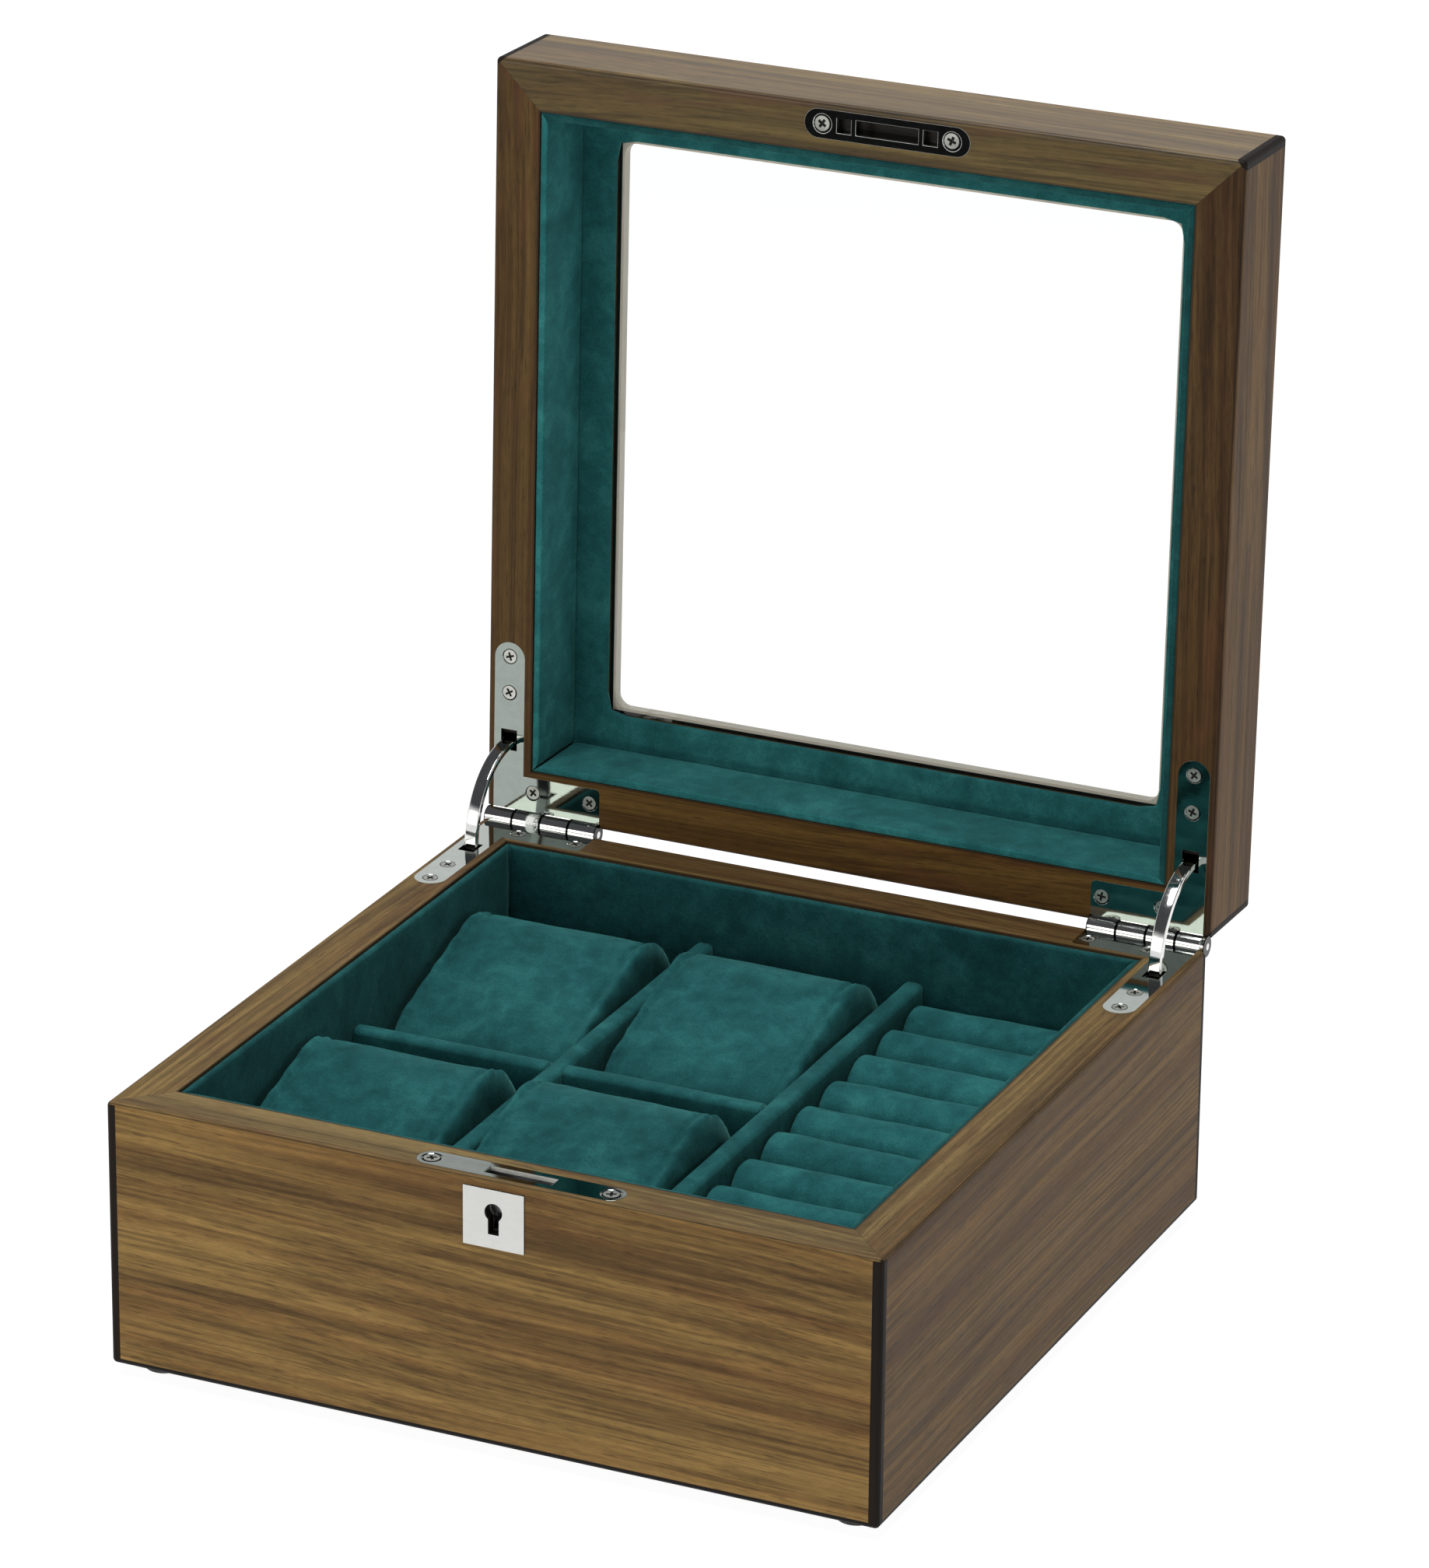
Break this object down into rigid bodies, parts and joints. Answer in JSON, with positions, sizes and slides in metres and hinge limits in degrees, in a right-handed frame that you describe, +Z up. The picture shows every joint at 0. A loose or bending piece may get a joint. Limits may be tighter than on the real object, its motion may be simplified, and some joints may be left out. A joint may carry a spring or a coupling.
{
  "type": "watch and cufflink display box",
  "caption": "Hinged wooden display box with a glazed, locking lid on quadrant stays; velvet-lined cells hold lift-out watch pillows beside rolls that grip cufflinks.",
  "frame": {"origin": "centre of the square case's footprint, on the surface that the four feet stand on", "axes": "+X to the right, -Y towards the front with the keyhole, +Z up; the lid rests open, behind"},
  "size_m": [0.24, 0.2823, 0.3271],
  "materials": {
    "walnut": "satin-lacquered walnut veneer",
    "black_inlay": "ebonised, gloss lacquer",
    "teal_velvet": "short-pile velvet over board or wadding",
    "clear_glass": "clear, polished",
    "foot_rubber": "matt",
    "lock_steel": "plain sheet",
    "satin_plate": "satin",
    "polished_chrome": "polished"
  },
  "bodies": {
    "base": {"base_wall_front": "walnut", "base_wall_right": "walnut", "base_wall_back": "walnut", "base_wall_left": "walnut", "base_corner_inlays": "black_inlay", "bottom_panel": "walnut", "feet": "foot_rubber", "base_liner_front": "teal_velvet", "base_liner_right": "teal_velvet", "base_liner_back": "teal_velvet", "base_liner_left": "teal_velvet", "floor_pad": "teal_velvet", "main_divider": "teal_velvet", "row_divider": "teal_velvet", "column_divider": "teal_velvet", "cufflink_bed": "teal_velvet", "cufflink_rolls": "teal_velvet", "hinge_base_leaf_right": "polished_chrome", "hinge_pin_right": "polished_chrome", "hinge_base_leaf_left": "polished_chrome", "hinge_pin_left": "polished_chrome", "hinge_base_screws": "polished_chrome", "lock_face_plate": "polished_chrome", "lock_case": "lock_steel", "lock_cover": "lock_steel", "key_post": "lock_steel", "lock_spring": "lock_steel", "lock_screws": "polished_chrome", "escutcheon": "satin_plate"},
    "lid": {"lid_rail_front": "walnut", "lid_rail_right": "walnut", "lid_rail_back": "walnut", "lid_rail_left": "walnut", "lid_corner_inlays": "black_inlay", "lid_liner_front": "teal_velvet", "lid_liner_right": "teal_velvet", "lid_liner_back": "teal_velvet", "lid_liner_left": "teal_velvet", "lid_top_frame": "walnut", "glass_pane": "clear_glass", "glass_retainer": "teal_velvet", "hinge_lid_leaf_left": "polished_chrome", "hinge_lid_leaf_right": "polished_chrome", "hinge_lid_screws": "polished_chrome", "strike_plate": "polished_chrome", "strike_screws": "polished_chrome"},
    "stay_left": {"lid_stay_left": "polished_chrome"},
    "stay_right": {"lid_stay_right": "polished_chrome"},
    "claw": {"lock_claw": "polished_chrome"},
    "pillow_front_left": {"watch_pillow_front_left": "teal_velvet"},
    "pillow_front_right": {"watch_pillow_front_right": "teal_velvet"},
    "pillow_rear_left": {"watch_pillow_rear_left": "teal_velvet"},
    "pillow_rear_right": {"watch_pillow_rear_right": "teal_velvet"}
  },
  "joints": [
    {"name": "lid_hinge", "type": "hinge", "parent": "base", "child": "lid", "pos_m": [0, 0.1216, 0.08565], "axis": [1, 0, 0], "range_deg": [0, 91.7]},
    {"name": "stay_left_swing", "type": "hinge", "parent": "base", "child": "stay_left", "pos_m": [0, 0.1216, 0.08565], "axis": [1, 0, 0], "range_deg": [0, 45.85]},
    {"name": "stay_right_swing", "type": "hinge", "parent": "base", "child": "stay_right", "pos_m": [0, 0.1216, 0.08565], "axis": [1, 0, 0], "range_deg": [0, 45.85]},
    {"name": "lock_turn", "type": "hinge", "parent": "base", "child": "claw", "pos_m": [0.0025, -0.1136, 0.0758], "axis": [0, -1, 0], "range_deg": [0, 90]},
    {"name": "pillow_front_left_lift", "type": "slide", "parent": "base", "child": "pillow_front_left", "axis": [0, 0, 1], "range_m": [0, 0.03]},
    {"name": "pillow_front_right_lift", "type": "slide", "parent": "base", "child": "pillow_front_right", "axis": [0, 0, 1], "range_m": [0, 0.03]},
    {"name": "pillow_rear_left_lift", "type": "slide", "parent": "base", "child": "pillow_rear_left", "axis": [0, 0, 1], "range_m": [0, 0.03]},
    {"name": "pillow_rear_right_lift", "type": "slide", "parent": "base", "child": "pillow_rear_right", "axis": [0, 0, 1], "range_m": [0, 0.03]}
  ],
  "couplings": [
    {"joint": "stay_left_swing", "follows": "lid_hinge", "ratio": 0.5},
    {"joint": "stay_right_swing", "follows": "lid_hinge", "ratio": 0.5}
  ]
}
